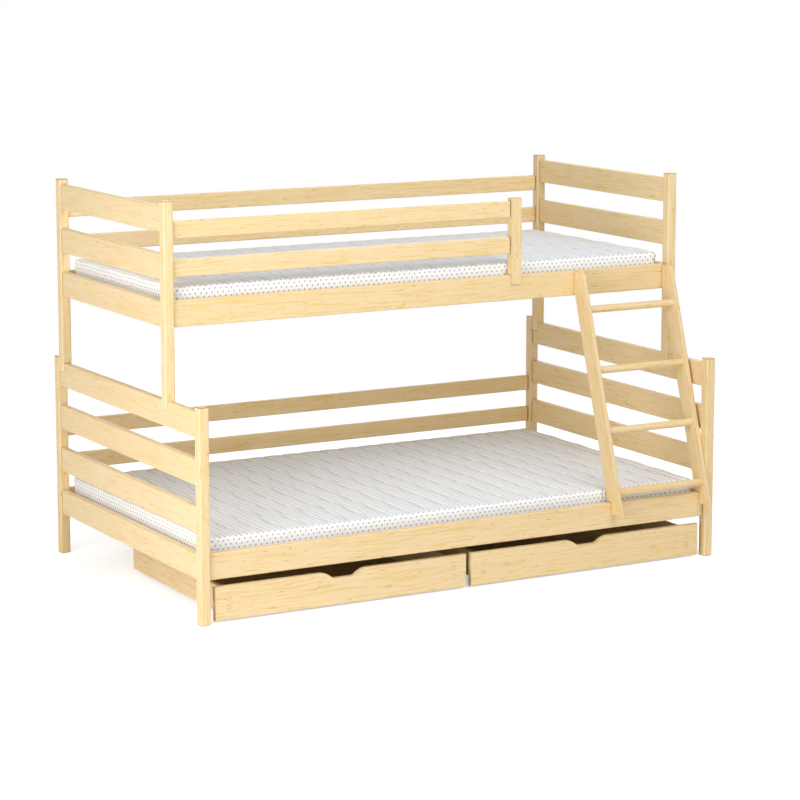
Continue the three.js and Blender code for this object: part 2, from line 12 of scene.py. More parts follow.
# %% Open the CAD model
import math
from functools import partial
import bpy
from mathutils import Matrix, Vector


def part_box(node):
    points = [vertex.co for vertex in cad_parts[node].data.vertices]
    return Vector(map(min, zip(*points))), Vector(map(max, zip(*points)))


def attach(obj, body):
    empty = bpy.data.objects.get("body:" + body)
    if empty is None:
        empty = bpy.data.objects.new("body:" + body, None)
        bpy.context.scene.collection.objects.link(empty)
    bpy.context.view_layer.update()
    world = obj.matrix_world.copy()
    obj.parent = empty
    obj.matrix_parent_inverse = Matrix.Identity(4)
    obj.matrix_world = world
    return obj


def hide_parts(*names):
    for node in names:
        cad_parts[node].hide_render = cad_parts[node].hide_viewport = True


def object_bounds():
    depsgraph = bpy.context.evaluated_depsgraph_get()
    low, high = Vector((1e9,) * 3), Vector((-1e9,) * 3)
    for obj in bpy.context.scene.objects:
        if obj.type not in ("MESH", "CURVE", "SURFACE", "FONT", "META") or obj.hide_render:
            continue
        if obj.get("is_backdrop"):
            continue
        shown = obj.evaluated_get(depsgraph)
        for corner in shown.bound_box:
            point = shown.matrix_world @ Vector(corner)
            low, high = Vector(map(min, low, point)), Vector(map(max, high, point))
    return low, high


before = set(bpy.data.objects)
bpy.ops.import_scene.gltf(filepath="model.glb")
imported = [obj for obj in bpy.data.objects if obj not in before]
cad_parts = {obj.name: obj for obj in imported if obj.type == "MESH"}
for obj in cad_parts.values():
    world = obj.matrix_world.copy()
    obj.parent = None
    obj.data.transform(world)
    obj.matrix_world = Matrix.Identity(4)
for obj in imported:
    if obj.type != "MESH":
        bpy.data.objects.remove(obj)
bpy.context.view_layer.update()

from types import SimpleNamespace

import bmesh
import bpy
from mathutils import Matrix, Vector, noise

# %% [markdown]
# ## Sizes and colours
#
# Blender works in metres and furniture makers work in millimetres, so one value turns one into
# the other. A colour picked from a paint chart or a picture is an sRGB value. Shaders add and
# multiply light, so they want linear values, and one function does that sum for every colour.

# %% Millimetres and colours
MM = 0.001
ALONG_X, ALONG_Y, ALONG_Z = Vector((1, 0, 0)), Vector((0, 1, 0)), Vector((0, 0, 1))


def colour(code):
    """An sRGB hex code such as "#f0d6a8" as the linear colour that a shader reads."""
    channels = [int(code[i:i + 2], 16) / 255 for i in (1, 3, 5)]
    linear = [c / 12.92 if c <= 0.04045 else ((c + 0.055) / 1.055) ** 2.4 for c in channels]
    return (*linear, 1.0)


print("pale pine, linear:", [round(c, 3) for c in colour("#f0d6a8")])

# %% [markdown]
# ## Nodes
#
# Every finish here is a small graph of nodes. A node is always made the same way: it is added, its
# settings are set, and each input gets a number, a colour or another node's output. One function
# does that, so the finishes below read like recipes. A node that is handed over whole stands for
# its first output in use, which is nearly always the one that is wanted.

# %% Helpers that add nodes
def fill_inputs(node, inputs):
    """Give inputs, which go by name or number, a value or a link from a node or an output."""
    for socket, value in inputs.items():
        if isinstance(value, bpy.types.Node):
            value = next(output for output in value.outputs if output.enabled)
        if isinstance(value, bpy.types.NodeSocket):
            node.id_data.links.new(value, node.inputs[socket])
        else:
            node.inputs[socket].default_value = value


def add_node(tree, kind, inputs=None, **settings):
    """Add a node, set its settings, and then fill its inputs."""
    node = tree.nodes.new("ShaderNode" + kind)
    for setting, value in settings.items():
        setattr(node, setting, value)
    fill_inputs(node, inputs or {})
    return node


def ramp_stops(node, stops):
    """Place a colour ramp's stops: pairs of a position and a grey level or a colour."""
    elements = node.color_ramp.elements
    while len(elements) < len(stops):
        elements.new(0.5)
    for element, (position, value) in zip(elements, stops):
        element.position = position
        element.color = value if isinstance(value, tuple) else (value, value, value, 1.0)


def node_adder(owner):
    """Empty the node tree of a material or a world, and give back what adds nodes to it."""
    owner.use_nodes = True
    owner.node_tree.nodes.clear()
    return partial(add_node, owner.node_tree)


def blend(add, amount, under, over):
    """Lay one colour over another. A colour is a hex code, four channels or a node."""
    under, over = (colour(c) if isinstance(c, str) else c for c in (under, over))
    return add("Mix", {"Factor": amount, "A": under, "B": over}, data_type="RGBA")


def new_finish(name):
    """A material with only its shader and output, what adds nodes to it, and the shader."""
    finish = bpy.data.materials.new(name)
    add = node_adder(finish)
    shader = add("BsdfPrincipled")
    add("OutputMaterial", {"Surface": shader})
    return finish, add, shader


print("helpers for nodes ready")

# %% [markdown]
# ## Pine
#
# The bed is made of planed pine under a clear satin lacquer. What the eye sees is a pale yellow
# board with fine lines along it: each year's growth is a broad pale band that ends in a thin darker
# one. A board is a slice through those rings, so the lines run straight where the cut passes far
# from the heart of the tree, and wander in long arches where it passes close.
#
# A flat picture of wood would break at each corner. So the rings are made in space: every point of
# a board knows its place in the log that the board was sawn from, and the distance to the heart
# gives the ring. The end of a board then shows the right arcs by itself. Fast-grown pine has rings
# about 5 mm apart. Here they are 8 mm apart, because finer ones would melt together in the picture.
#
# Resin colours some of the late wood, which gives long golden streaks, and here and there a short
# bright tick. Sawn ends drink more lacquer and turn deeper. On top of that the finish darkens every
# rounded edge and sawn end with painted shade, most of all where two boards meet, to stand for the
# shade that gathers in the joints.

# %% Lacquered pine
RING = 8 * MM


def stretched(add, place, along, across):
    """A place in the log, scaled to make noise long with the grain and narrow across it."""
    return add("Mapping", {"Vector": place, "Scale": (1 / along, 1 / across, 1 / across)})


def pine_finish(name, pale, late, streak, knot, deep, roughness, lacquer):
    """Planed pine: growth rings, golden streaks and ticks, small knots, and painted edge shade."""
    finish, add, shader = new_finish(name)
    log = add("Attribute", attribute_name="grain").outputs["Vector"]
    # The edge value says where a board is rounded or sawn across; it drives the painted edge shade.
    edge = add("Attribute", attribute_name="edge").outputs["Fac"]

    # Small knots, one in about each 130 mm of log. The rings swell where they pass one.
    knots = add("TexVoronoi", {"Vector": log, "Scale": 7.5})
    swell = add("MapRange", {"Value": knots, "From Min": 0.2, "From Max": 0.03, "To Max": 7 * MM},
                interpolation_type="SMOOTHSTEP")

    # A tree doesn't grow straight, so the rings and streaks wander by some millimetres.
    drift = add("TexNoise", {"Vector": stretched(add, log, 420 * MM, 90 * MM), "Scale": 1.0,
                             "Detail": 4.0, "Roughness": 0.55}).outputs["Color"]
    centred = add("VectorMath", {0: drift, 1: (0.5, 0.5, 0.5)}, operation="SUBTRACT")
    sideways = add("VectorMath", {0: centred, 1: (0.0, 30 * MM, 30 * MM)}, operation="MULTIPLY")
    bent = add("VectorMath", {0: log, 1: sideways}, operation="ADD")
    across = add("VectorMath", {0: bent, 1: (0.0, 1.0, 1.0)}, operation="MULTIPLY")
    radius = add("VectorMath", {0: across}, operation="LENGTH")
    swollen = add("Math", {0: radius, 1: swell}, operation="ADD")
    year = add("Math", {0: swollen, 1: RING}, operation="DIVIDE")
    season = add("Math", {0: year}, operation="FRACT")
    ring = add("ValToRGB", {"Fac": season})
    ramp_stops(ring, [(0.0, 0.1), (0.4, 0.0), (0.72, 0.25), (0.9, 1.0), (1.0, 0.1)])

    # Streaks are a hand long and ticks a thumb long. Fibres are about a millimetre across, and
    # the tone changes from one part of a board to the next.
    streaks, ticks, fibre, tone = [
        add("TexNoise", {"Vector": stretched(add, place, length, width), "Scale": 1.0,
                         "Detail": detail, "Distortion": distortion})
        for place, length, width, detail, distortion in (
            (bent, 150 * MM, 7 * MM, 2.0, 0.4), (bent, 42 * MM, 6 * MM, 1.5, 0.8),
            (bent, 70 * MM, 1.6 * MM, 3.0, 0.0), (log, 2.8, 160 * MM, 1.0, 0.0))]
    golden, ticked, warmth = [
        add("MapRange", {"Value": value, "From Min": start, "From Max": end, "To Max": most})
        for value, start, end, most in (
            (streaks, 0.5, 0.68, 0.52), (ticks, 0.65, 0.72, 0.65), (tone, 0.3, 0.7, 0.35))]

    # Tone, rings, fibres, streaks, ticks, knots and painted edge shade are laid on in that order.
    warm = blend(add, warmth, pale, late)
    some = add("Math", {0: ring, 1: 0.3}, operation="MULTIPLY")
    ringed = blend(add, some, warm, late)
    shade = add("MapRange", {"Value": fibre, "From Min": 0.3, "From Max": 0.7,
                             "To Min": 0.94, "To Max": 1.04})
    painted = add("VectorMath", {0: ringed, "Scale": shade}, operation="SCALE")
    core = add("MapRange", {"Value": knots, "From Min": 0.05, "From Max": 0.015, "To Max": 0.6},
               interpolation_type="SMOOTHSTEP")
    # Painted shade at rounded edges and sawn ends, darkest where boards meet; end grain is darker
    # too.
    depth = add("Math", {0: edge, 1: 0.95}, operation="MULTIPLY")
    for amount, code in ((golden, streak), (ticked, knot), (core, knot), (depth, deep)):
        painted = blend(add, amount, painted, code)

    # Planing leaves the hard late wood a hair proud, and lacquer fills the rest.
    gloss = add("MapRange", {"Value": fibre, "From Min": 0.3, "From Max": 0.7,
                             "To Min": roughness - 0.05, "To Max": roughness + 0.06})
    relief = add("Math", {0: fibre, 1: ring}, operation="ADD")
    bump = add("Bump", {"Height": relief, "Strength": 0.25, "Distance": 0.15 * MM})
    fill_inputs(shader, {"Base Color": painted, "Roughness": gloss, "Normal": bump,
                         "Coat Weight": lacquer, "Coat Roughness": 0.3})
    return finish


# The fifth colour of each finish is the painted shade at rounded edges, sawn ends and joints.
lacquered_pine = pine_finish("lacquered pine, planed and sanded", "#f0d6a8", "#e5c68c", "#dfba58",
                             "#cfa340", "#66431f", roughness=0.48, lacquer=0.2)
bare_pine = pine_finish("bare pine, planed", "#efd6ab", "#dfbd86", "#d6b076",
                        "#c0935a", "#8d6838", roughness=0.68, lacquer=0.0)
print("two pine finishes")

# %% [markdown]
# ## How a board becomes a piece
#
# A few helpers turn a bmesh into a finished piece. The first gives each point its place in a log:
# the first number runs along the grain, and the other two run across it, with the heart of the log
# a few centimetres to one side. Each board gets another log, so no two boards look the same. The
# next two put the mesh in the scene and tie it to the CAD part that it stands for. The last makes a
# plain board: a cube is scaled to the board's size, its long edges are rounded as a router does
# it, and its ends are eased with sandpaper.
#
# The rounding helper also marks the points in the middle of each rounding, for the finish to
# darken with painted shade. A bevel hands back the faces it made, and a point that touches no
# other faces lies in it.

# %% Helpers that make a piece
LOG_SPACING = 3.1
ALIGNED = 0.9999
logs_used = 0


def lay_grain(piece, along):
    """Give every point its place in the log that this piece was sawn from, in metres."""
    global logs_used
    logs_used += 1
    along = along.normalized()
    side = ALONG_X if abs(along.x) < 0.5 else ALONG_Y
    second = along.cross(side).normalized()
    third = along.cross(second)
    points = [vertex.co for vertex in piece.data.vertices]
    centre = sum(points, Vector()) / len(points)
    # The heart lies 34 to 64 mm below the board, and up to 22 mm to either side.
    below = (34 + 30 * (logs_used * 0.618 % 1)) * MM
    aside = (44 * (logs_used * 0.414 % 1) - 22) * MM
    values = []
    for point in points:
        place = point - centre
        values += [place.dot(along) + LOG_SPACING * logs_used,
                   place.dot(second) + aside, place.dot(third) + below]
    layer = piece.data.attributes.new("grain", "FLOAT_VECTOR", "POINT")
    layer.data.foreach_set("vector", values)


def to_scene(bm, name):
    """Put a bmesh in the scene as an object."""
    mesh = bpy.data.meshes.new(name)
    bm.to_mesh(mesh)
    bm.free()
    made = bpy.data.objects.new(name, mesh)
    bpy.context.scene.collection.objects.link(made)
    return made


def make_piece(bm, name, body, finish, stands_for=(), grain=None):
    """Put a bmesh in the scene as a smooth piece that rides on a CAD body."""
    bmesh.ops.recalc_face_normals(bm, faces=bm.faces[:])
    piece = to_scene(bm, name)
    piece.data.shade_smooth()
    piece.data.materials.append(finish)
    if grain is not None:
        lay_grain(piece, grain)
    shading = piece.modifiers.new("keep flats flat", "WEIGHTED_NORMAL")
    shading.weight = 100
    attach(piece, body)
    if stands_for:
        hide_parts(*stands_for)
    return piece


def make_wood(bm, node, grain, body="frame", finish=lacquered_pine):
    """Make the usual piece: planed pine in the place of one CAD solid."""
    return make_piece(bm, f"{node}_wood", body, finish, [node], grain)


def once_each(groups):
    """The items of some groups, each once, in the order in which they come."""
    return list(dict.fromkeys(item for group in groups for item in group))


def parallel(edge, direction):
    """True where an edge runs the same way as a direction."""
    run = edge.verts[1].co - edge.verts[0].co
    return run.length > 1e-7 and abs(run.normalized().dot(direction)) > ALIGNED


def round_edges(bm, edges, radius, segments, depth=0.35):
    """Round edges over, as a router bit does, and mark how much painted shade their colour gets."""
    edge = bm.verts.layers.float.get("edge") or bm.verts.layers.float.new("edge")
    made = bmesh.ops.bevel(bm, geom=edges, offset=radius, offset_type="OFFSET", segments=segments,
                           profile=0.5, affect="EDGES", clamp_overlap=True, material=-1)
    faces = set(made["faces"])
    # depth is the share of painted shade that the finish lays on the middle of a rounding.
    for vertex in made["verts"]:
        inside = all(face in faces for face in vertex.link_faces)
        vertex[edge] = max(vertex[edge], depth) if inside else vertex[edge]


def rim_edges(bm, direction):
    """The edges round the flat faces that look along a direction, one way or the other."""
    bm.normal_update()
    flat = [face for face in bm.faces if abs(face.normal.dot(direction)) > ALIGNED]
    return once_each(face.edges for face in flat)


def block_shape(low, high):
    """The matrix that turns a cube of one metre into the block between two corners."""
    low, high = Vector(low), Vector(high)
    return Matrix.Translation((low + high) / 2) @ Matrix.Diagonal((*(high - low), 1.0))


def add_board(bm, low, high, along, radius, ease, segments=3):
    """Add one board to a bmesh: long edges rounded by radius, ends eased by ease."""
    made = bmesh.ops.create_cube(bm, size=1.0, matrix=block_shape(low, high))
    edges = once_each(vertex.link_edges for vertex in made["verts"])
    before = set(bm.faces) - {face for vertex in made["verts"] for face in vertex.link_faces}
    round_edges(bm, [edge for edge in edges if parallel(edge, along)], radius, segments)
    bm.normal_update()
    ends = [f for f in bm.faces if f not in before and abs(f.normal.dot(along)) > ALIGNED]
    round_edges(bm, once_each(face.edges for face in ends), ease, 3, depth=1.0)
    # End faces get the full mark: painted shade where boards meet, and end grain that is darker
    # anyway.
    end_grain_and_shade = bm.verts.layers.float.get("edge")
    for vertex in {vertex for face in ends if face.is_valid for vertex in face.verts}:
        vertex[end_grain_and_shade] = 1.0


print("helpers for boards ready")

# %% [markdown]
# ## Posts of the lower bunk
#
# Four posts of 36 by 39 mm stand at the corners of the lower bunk. Their long edges are rounded by
# 5.5 mm, which gives the soft upright highlights that pine furniture has. A cube with bevelled
# edges is the shortest way to such a post, and the bevel's segments make the roundness real, so it
# catches the light from any side.

# %% Lower posts
POST_ROUND, POST_EASE = 5.5 * MM, 2.5 * MM
CORNERS = ("front_left", "front_right", "back_left", "back_right")
for corner in CORNERS:
    node = f"lower_post_{corner}"
    bm = bmesh.new()
    add_board(bm, *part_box(node), ALONG_Z, POST_ROUND, POST_EASE, segments=4)
    make_wood(bm, node, ALONG_Z)
print("four lower posts")

# %% [markdown]
# ## Posts of the upper bunk
#
# The upper posts end in a fork that sits astride the top rail of the lower end frame, so the two
# bunks can't slide apart. A joiner rounds the post first and then saws the slot. The same order
# works here: the post is bevelled, and a Boolean modifier takes a plain block out of its foot.
# Cutting first would leave the bevel nothing to hold on to, because one side of the fork is
# thinner than the rounding. The grain is laid last, because the saw adds points that need it too.

# %% Forked posts
FORK_DEPTH = 34.3 * MM
FORK_WIDTH = 24.6 * MM
SAW_MARGIN = 0.01


def cut_away(piece, low, high):
    """Take a plain block out of a piece and keep the result as its mesh."""
    bm = bmesh.new()
    bmesh.ops.create_cube(bm, size=1.0, matrix=block_shape(low, high))
    block = to_scene(bm, "block")
    others = list(piece.modifiers)
    saw = piece.modifiers.new("saw", "BOOLEAN")
    saw.operation = "DIFFERENCE"
    saw.object = block
    for modifier in others:
        modifier.show_viewport = False
    depsgraph = bpy.context.evaluated_depsgraph_get()
    depsgraph.update()
    piece.data = bpy.data.meshes.new_from_object(piece.evaluated_get(depsgraph))
    for modifier in others:
        modifier.show_viewport = True
    piece.modifiers.remove(saw)
    bpy.data.objects.remove(block)


for corner in CORNERS:
    node = f"upper_post_{corner}"
    low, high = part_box(node)
    rail_low, rail_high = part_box(f"lower_end_rail_{corner.split('_')[1]}_4")
    middle = (rail_low.x + rail_high.x) / 2
    bm = bmesh.new()
    add_board(bm, low, high, ALONG_Z, POST_ROUND, POST_EASE, segments=4)
    post = make_wood(bm, node, None)
    cut_away(post, (middle - FORK_WIDTH / 2, low.y - SAW_MARGIN, low.z - SAW_MARGIN),
             (middle + FORK_WIDTH / 2, high.y + SAW_MARGIN, low.z + FORK_DEPTH))
    lay_grain(post, ALONG_Z)
print("four forked posts")

# %% [markdown]
# ## Rails
#
# All other boards of the frame are 24 mm thick. Their long edges are rounded by 5 mm. The bevel of
# their ends asks for 6 mm, but Blender stops it at 4.8, where the round corners of the end face
# shrink to a point. So the rails meet the rounded posts with a fine dark line: real shade in the
# groove, deepened by painted shade that the finish lays on the rounded ends. The same helper makes
# them all, and only the direction of the grain differs.

# %% End rails and guard rails
BOARD_ROUND = 5 * MM
END_ROUND = 6 * MM
end_rails = [f"lower_end_rail_{side}_{i}" for side in ("left", "right") for i in (1, 2, 3, 4)]
end_rails += [f"upper_end_rail_{side}_{i}" for side in ("left", "right") for i in (1, 2, 3)]
guard_rails = [f"{level}_back_guard_{i}" for level in ("lower", "upper") for i in (1, 2)]
guard_rails += ["front_guard_rail_1", "front_guard_rail_2"]
for nodes, along in ((end_rails, ALONG_Y), (guard_rails, ALONG_X)):
    for node in nodes:
        bm = bmesh.new()
        add_board(bm, *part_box(node), along, BOARD_ROUND, END_ROUND)
        make_wood(bm, node, along)
print(f"{len(end_rails)} end rails and {len(guard_rails)} guard rails")

# %% [markdown]
# ## Side rails
#
# A side rail carries a ledger, a strip of 20 by 16 mm along the foot of its inner face, and the
# slats lie on it. The strip is screwed on, so it keeps its own sharp edges, and a row of
# countersunk screw heads shows on its inner face. A head is a short cylinder of which a few tenths
# of a millimetre stand out, and its socket is an inset that is pushed in.

# %% Side rails with their ledgers
RAIL_THICK = 24 * MM
LEDGER_OUT, LEDGER_HIGH, LEDGER_FROM_END = 20 * MM, 16 * MM, 40 * MM
LEDGER_ROUND, LEDGER_EASE, LEDGER_SUNK = 1 * MM, 0.5 * MM, 0.5 * MM
SCREWS, HEAD, HEAD_LONG, HEAD_SUNK = 8, 8 * MM, 2 * MM, 0.6 * MM
SOCKET_FROM_RIM, SOCKET_DEPTH, SOCKET_SLANT = 2 * MM, 1.2 * MM, 0.1 * MM
CHAMFER = 0.2 * MM

steel, add, shader = new_finish("zinc-plated steel, drawn")
zinc = add("TexCoord").outputs["Object"]
cloud = add("TexNoise", {"Vector": zinc, "Scale": 260.0, "Detail": 2.0})
dull = add("MapRange", {"Value": cloud, "To Min": 0.28, "To Max": 0.46})
tint = blend(add, cloud, "#b9bcbf", "#a3a8ad")
fill_inputs(shader, {"Base Color": tint, "Roughness": dull, "Metallic": 1.0})


def add_cylinder(bm, centre, turned_about, diameter, length, segments):
    """Add a closed cylinder that is turned by a right angle about the X or the Y axis."""
    place = Matrix.Translation(centre) @ Matrix.Rotation(math.pi / 2, 4, turned_about)
    return bmesh.ops.create_cone(bm, cap_ends=True, segments=segments, radius1=diameter / 2,
                                 radius2=diameter / 2, depth=length, matrix=place)


for level in ("lower", "upper"):
    for side, inwards in (("front", 1), ("back", -1)):
        node = f"{level}_side_rail_{side}"
        low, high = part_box(node)
        outer = low.y if inwards > 0 else high.y
        inner = outer + inwards * RAIL_THICK
        rail_y = sorted((outer, inner))
        ledger_y = sorted((inner - inwards * LEDGER_SUNK, inner + inwards * LEDGER_OUT))
        bm = bmesh.new()
        add_board(bm, (low.x, rail_y[0], low.z), (high.x, rail_y[1], high.z),
                  ALONG_X, BOARD_ROUND, END_ROUND)
        add_board(bm, (low.x + LEDGER_FROM_END, ledger_y[0], low.z),
                  (high.x - LEDGER_FROM_END, ledger_y[1], low.z + LEDGER_HIGH),
                  ALONG_X, LEDGER_ROUND, LEDGER_EASE, segments=1)
        make_wood(bm, node, ALONG_X)
        bm = bmesh.new()
        for i in range(SCREWS):
            x = low.x + (high.x - low.x) * (i + 0.5) / SCREWS
            place = (x, inner + inwards * (LEDGER_OUT - HEAD_SUNK), low.z + LEDGER_HIGH / 2)
            add_cylinder(bm, place, "X", HEAD, HEAD_LONG, segments=16)
        bm.normal_update()
        heads = [face for face in bm.faces if face.normal.y * inwards > 0.9]
        for thickness, depth in ((SOCKET_FROM_RIM, CHAMFER), (SOCKET_SLANT, -SOCKET_DEPTH)):
            bmesh.ops.inset_individual(bm, faces=heads, thickness=thickness, depth=depth)
        make_piece(bm, f"{node}_screws", "frame", steel)
print("four side rails with", SCREWS, "screws each")

# %% [markdown]
# ## The post at the way in
#
# The front guard ends at a short post that laps over the side rail. Its shape is clearest from
# the end of the bed: a bar with a step at its foot. So that outline is drawn with six points, and
# extruded across the post's 41 mm.

# %% Guard post
JOINT = 0.3 * MM  # Boards that are fastened together stand this far apart.


def saw_outline(corners, travel, ease, roundings=()):
    """A plank from a flat outline that is pulled along a vector.

    A rounding gives the numbers of its corners, how far from them it starts, and its segments.
    """
    travel = Vector(travel)
    bm = bmesh.new()
    points = [bm.verts.new(corner) for corner in corners]
    bm.faces.new(points)
    for numbers, offset, segments in roundings:
        bmesh.ops.bevel(bm, geom=[points[i] for i in numbers], offset=offset, segments=segments,
                        profile=0.5, affect="VERTICES", material=-1)
    pulled = bmesh.ops.extrude_face_region(bm, geom=bm.faces[:])["geom"]
    moved = [item for item in pulled if isinstance(item, bmesh.types.BMVert)]
    bmesh.ops.translate(bm, vec=travel, verts=moved)
    bmesh.ops.recalc_face_normals(bm, faces=bm.faces[:])
    round_edges(bm, rim_edges(bm, travel.normalized()), ease, 3)
    return bm


low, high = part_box("front_guard_post")
rail_low, rail_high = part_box("upper_side_rail_front")
step_y, step_z = rail_low.y - JOINT, rail_high.z + JOINT
corners = [(low.x, y, z) for y, z in (
    (low.y, low.z), (step_y, low.z), (step_y, step_z),
    (high.y, step_z), (high.y, high.z), (low.y, high.z))]
bm = saw_outline(corners, (high.x - low.x, 0, 0), ease=2 * MM)
make_wood(bm, "front_guard_post", ALONG_Z)
print("guard post", round((high.z - low.z) * 1000), "mm tall")

# %% [markdown]
# ## The ladder
#
# Two stringers lean from the lower side rail to the upper one, and four round rungs join them.
# A stringer is a plank of 19 mm, notched at the foot where it stands on the rail, and cut upright
# at the top where it rests against the upper rail. Its outline is drawn from the side and then
# extruded. Only one corner needs a special tool: a vertex bevel rounds the top front corner by
# 26 mm before the plank gets its thickness.

# %% Stringers
STRINGER_ACROSS, TOP_REST, TOP_CORNER = 72 * MM, 22 * MM, 26 * MM
rail_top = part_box("lower_side_rail_front")[1].z
rail_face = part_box("lower_side_rail_front")[0].y
upper_rail_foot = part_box("upper_side_rail_front")[0].z
for side in ("left", "right"):
    node = f"ladder_stringer_{side}"
    low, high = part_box(node)
    seat, rest = rail_top + JOINT, upper_rail_foot + TOP_REST
    slope = (high.y - STRINGER_ACROSS - low.y) / (rest - low.z)
    corners = [(low.x, y, z) for y, z in (
        (low.y, low.z), (rail_face - JOINT, low.z), (rail_face - JOINT, seat),
        (low.y + STRINGER_ACROSS + slope * (seat - low.z), seat), (high.y, rest), (high.y, high.z),
        (low.y + slope * (high.z - low.z), high.z))]
    lean = math.atan(slope)
    tangent = TOP_CORNER / math.tan((math.pi / 2 + lean) / 2)
    bm = saw_outline(corners, (high.x - low.x, 0, 0), ease=3 * MM, roundings=[((6,), tangent, 8)])
    make_wood(bm, node, Vector((0, slope, 1)))
    print(node, "leans back by", round(math.degrees(lean), 1), "degrees")

# %% [markdown]
# ## Rungs
#
# The rungs are turned bars of 27 mm, let 10 mm into each stringer. A cylinder with 32 sides and
# smooth shading looks round at any distance that the picture allows.

# %% Rungs
def add_bar(bm, low, high, ease, segments):
    """Add a round bar along X that fills a box, with its two end rims eased."""
    low, high = Vector(low), Vector(high)
    made = add_cylinder(bm, (low + high) / 2, "Y", high.z - low.z, high.x - low.x, segments)
    bm.normal_update()
    faces = once_each(vertex.link_faces for vertex in made["verts"])
    ends = [face for face in faces if abs(face.normal.x) > ALIGNED]
    round_edges(bm, once_each(face.edges for face in ends), ease, 2)


for i in (1, 2, 3, 4):
    node = f"ladder_rung_{i}"
    low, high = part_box(node)
    bm = bmesh.new()
    add_bar(bm, low, high, ease=1 * MM, segments=32)
    make_wood(bm, node, ALONG_X)
print("four rungs")

# %% [markdown]
# ## Slats
#
# Thirteen slats lie across each bunk on the ledgers. They are plain planed pine without lacquer,
# and two woven tapes are stapled over them so that they keep their distance. All slats of a bunk
# are one mesh, because they are one product that is rolled out in one go.

# %% Slats and their tapes
SLATS, SLAT_WIDTH, SLAT_THICK = 13, 70 * MM, 18 * MM
TAPE_WIDTH, TAPE_THICK, TAPE_SUNK, TAPE_FROM_END = 25 * MM, 1.5 * MM, 0.2 * MM, 20 * MM

webbing, add, shader = new_finish("polyester webbing, woven")
weave = add("TexCoord").outputs["Object"]
threads = add("TexWave", {"Vector": weave, "Scale": 105.0, "Distortion": 0.4},
              bands_direction="Y").outputs["Fac"]
cloth = blend(add, threads, "#c9c6bd", "#e4e1d8")
ribs = add("Bump", {"Height": threads, "Strength": 0.5, "Distance": 0.3 * MM})
fill_inputs(shader, {"Base Color": cloth, "Normal": ribs, "Roughness": 0.85})

for level in ("lower", "upper"):
    node = f"{level}_slat_base"
    low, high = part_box(node)
    pitch = (high.x - low.x - SLAT_WIDTH) / (SLATS - 1)
    slat_top = low.z + SLAT_THICK
    bm = bmesh.new()
    for i in range(SLATS):
        left = low.x + i * pitch
        add_board(bm, (left, low.y, low.z), (left + SLAT_WIDTH, high.y, slat_top),
                  ALONG_Y, radius=3 * MM, ease=1 * MM, segments=2)
    make_piece(bm, f"{level}_slats", "frame", bare_pine, [node], grain=ALONG_Y)
    bm = bmesh.new()
    quarter = (high.y - low.y) / 4
    for middle in (low.y + quarter, high.y - quarter):
        add_board(bm, (low.x + TAPE_FROM_END, middle - TAPE_WIDTH / 2, slat_top - TAPE_SUNK),
                  (high.x - TAPE_FROM_END, middle + TAPE_WIDTH / 2, slat_top + TAPE_THICK),
                  ALONG_X, radius=0.4 * MM, ease=0.2 * MM, segments=1)
    make_piece(bm, f"{level}_slat_tapes", "frame", webbing)
print("slats", round(pitch * 1000), "mm apart, centre to centre")

# %% [markdown]
# ## Mattress covers
#
# A cover is white cotton with small blue-grey dots woven in, in staggered rows. The border round
# the sides is smooth. The top is quilted over a thin wadding: a seam every fourth dot pulls the
# cloth down into a furrow across the bed, and the furrows wander a little.
#
# The pattern belongs to the cloth, not to the space round it, so both finishes read the mattress's
# own UV map, which counts dots. The furrows are real shape, and a value on each point says how
# close the sewn line is. The dots are drawn 6 mm wide, twice as wide as woven ones, to show at all.

# %% Quilted cotton and dotted border
DOT = 2.9 * MM
DOT_ALONG, DOT_ACROSS, DOT_UP = 20.5 * MM, 16 * MM, 14 * MM
FURROW = 4 * DOT_ALONG


def cloth_map(add):
    """The two numbers of the cloth's UV map: dots along the bed, and rows across or up."""
    return add("SeparateXYZ", {"Vector": add("UVMap", uv_map="cloth")}).outputs


def off_whole(add, value):
    """The distance from a counting value to its nearest whole number, from 0 to 0.5."""
    up = add("Math", {0: value, 1: 0.5}, operation="ADD")
    part = add("Math", {0: up}, operation="FRACT")
    off = add("Math", {0: part, 1: 0.5}, operation="SUBTRACT")
    return add("Math", {0: off}, operation="ABSOLUTE")


def woven_dots(add, row, place, row_gap, dot_gap):
    """Dots in rows, every other row moved by half a gap: 1 inside a dot and 0 outside it."""
    up = add("Math", {0: row, 1: 0.5}, operation="ADD")
    count = add("Math", {0: up}, operation="FLOOR")
    half = add("Math", {0: count, 1: 0.5, 2: place}, operation="MULTIPLY_ADD")
    beside = add("Math", {0: off_whole(add, half), 1: dot_gap / DOT}, operation="MULTIPLY")
    above = add("Math", {0: off_whole(add, row), 1: row_gap / DOT}, operation="MULTIPLY")
    reach = add("CombineXYZ", {"X": beside, "Y": above})
    off = add("VectorMath", {0: reach}, operation="LENGTH")
    return add("MapRange", {"Value": off, "From Min": 0.8, "From Max": 1.2,
                            "To Min": 1.0, "To Max": 0.0})


def cotton_feel(add, shader, height):
    """Give cotton its soft, dull surface, with the yarn on top of a height."""
    place = add("TexCoord").outputs["Object"]
    yarn = add("TexNoise", {"Vector": place, "Scale": 900.0, "Detail": 1.0})
    rough = add("MapRange", {"Value": yarn, "To Min": 0.86, "To Max": 0.96})
    fine = add("Math", {0: yarn, 1: 0.3, 2: height}, operation="MULTIPLY_ADD")
    bump = add("Bump", {"Height": fine, "Strength": 0.6, "Distance": 0.6 * MM})
    fill_inputs(shader, {"Roughness": rough, "Normal": bump,
                         "Sheen Weight": 0.15, "Sheen Roughness": 0.6})


